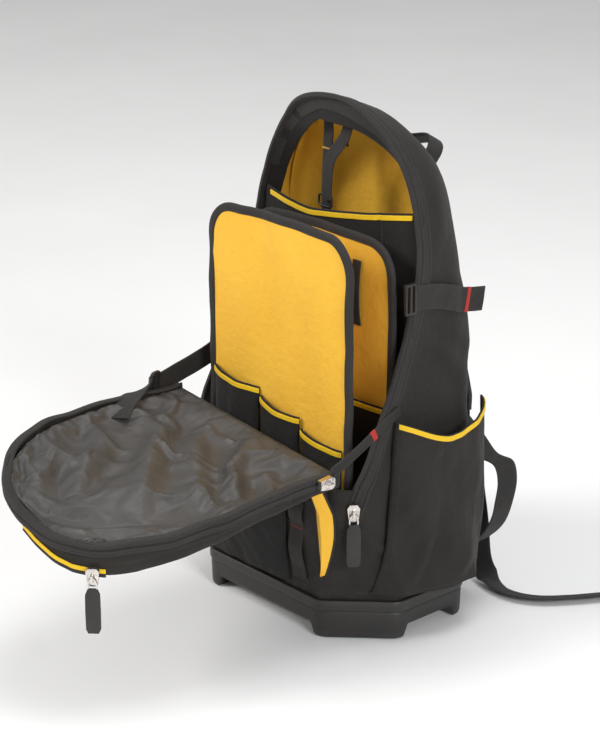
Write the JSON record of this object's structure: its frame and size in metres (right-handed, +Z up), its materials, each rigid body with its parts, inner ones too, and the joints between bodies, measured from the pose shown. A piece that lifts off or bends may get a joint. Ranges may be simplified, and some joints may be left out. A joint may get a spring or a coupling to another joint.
{
  "type": "tool backpack",
  "caption": "Open tool backpack with a moulded base, arched fabric body, front flap folded down, yellow divider panels, pockets, straps and hanging zip pullers.",
  "frame": {"origin": "middle of the bounding box at the height of the base", "axes": "+Z up, -Y out of the opening towards the flap, +X to the right for someone who faces the opening"},
  "size_m": [0.4102, 0.6154, 0.5405],
  "materials": {
    "nylon": "matt black polyester weave",
    "lining": "slightly shiny grey-black nylon lining",
    "yellow": "matt yellow polyester",
    "tape": "ribbed black webbing and zip tape",
    "rubber": "satin moulded rubber",
    "mesh": "black mesh cloth",
    "plastic": "satin black plastic",
    "metal": "polished nickel"
  },
  "bodies": {
    "pack": {"back_lining": "yellow", "back_pad": "mesh", "base_tray": "rubber", "body_shell": "nylon", "carry_handle": "tape", "compression_ring_left": "plastic", "compression_ring_right": "plastic", "compression_strap_left": "tape", "compression_strap_right": "tape", "flap_hinge": "nylon", "flap_lining": "lining", "flap_piping": "yellow", "flap_shell": "nylon", "flap_stay_glide": "plastic", "flap_stay_left": "tape", "flap_stay_right": "tape", "flap_zip_slider": "metal", "flap_zip_tape": "tape", "floor_board": "plastic", "front_divider": "yellow", "front_divider_binding": "tape", "front_divider_pocket_left": "nylon", "front_divider_pocket_left_piping": "yellow", "front_divider_pocket_middle": "nylon", "front_divider_pocket_middle_piping": "yellow", "front_divider_pocket_right": "nylon", "front_divider_pocket_right_piping": "yellow", "front_gusset": "yellow", "front_mesh_pocket": "mesh", "front_webbing": "tape", "lower_webbing_left": "tape", "lower_webbing_right": "tape", "main_zip_slider": "metal", "opening_zip_tape": "tape", "pocket_zip_slider": "metal", "rear_divider": "yellow", "rear_divider_binding": "tape", "rear_divider_pocket": "nylon", "rear_divider_pocket_piping": "yellow", "rear_loop_left": "tape", "rear_loop_right": "tape", "rear_pocket": "nylon", "rear_pocket_piping": "yellow", "shoulder_strap_left": "mesh", "shoulder_strap_right": "mesh", "side_pocket_left": "nylon", "side_pocket_left_piping": "yellow", "side_pocket_right": "nylon", "side_pocket_right_piping": "yellow", "strap_tail_right": "tape", "top_strap_left": "tape", "top_strap_right": "tape"},
    "main_zip_puller_body": {"main_zip_link": "metal", "main_zip_puller": "rubber"},
    "pocket_zip_puller_body": {"pocket_zip_link": "metal", "pocket_zip_puller": "rubber"}
  },
  "joints": [
    {"name": "main_zip_puller_swing", "type": "hinge", "parent": "pack", "child": "main_zip_puller_body", "pos_m": [0.09021, -0.00428, 0.14949], "axis": [-0.6227, -0.7824, 0], "range_deg": [0, 120]},
    {"name": "pocket_zip_puller_swing", "type": "hinge", "parent": "pack", "child": "pocket_zip_puller_body", "pos_m": [0.02727, -0.28176, 0.14543], "axis": [-0.7102, -0.704, 0], "range_deg": [0, 120]}
  ]
}
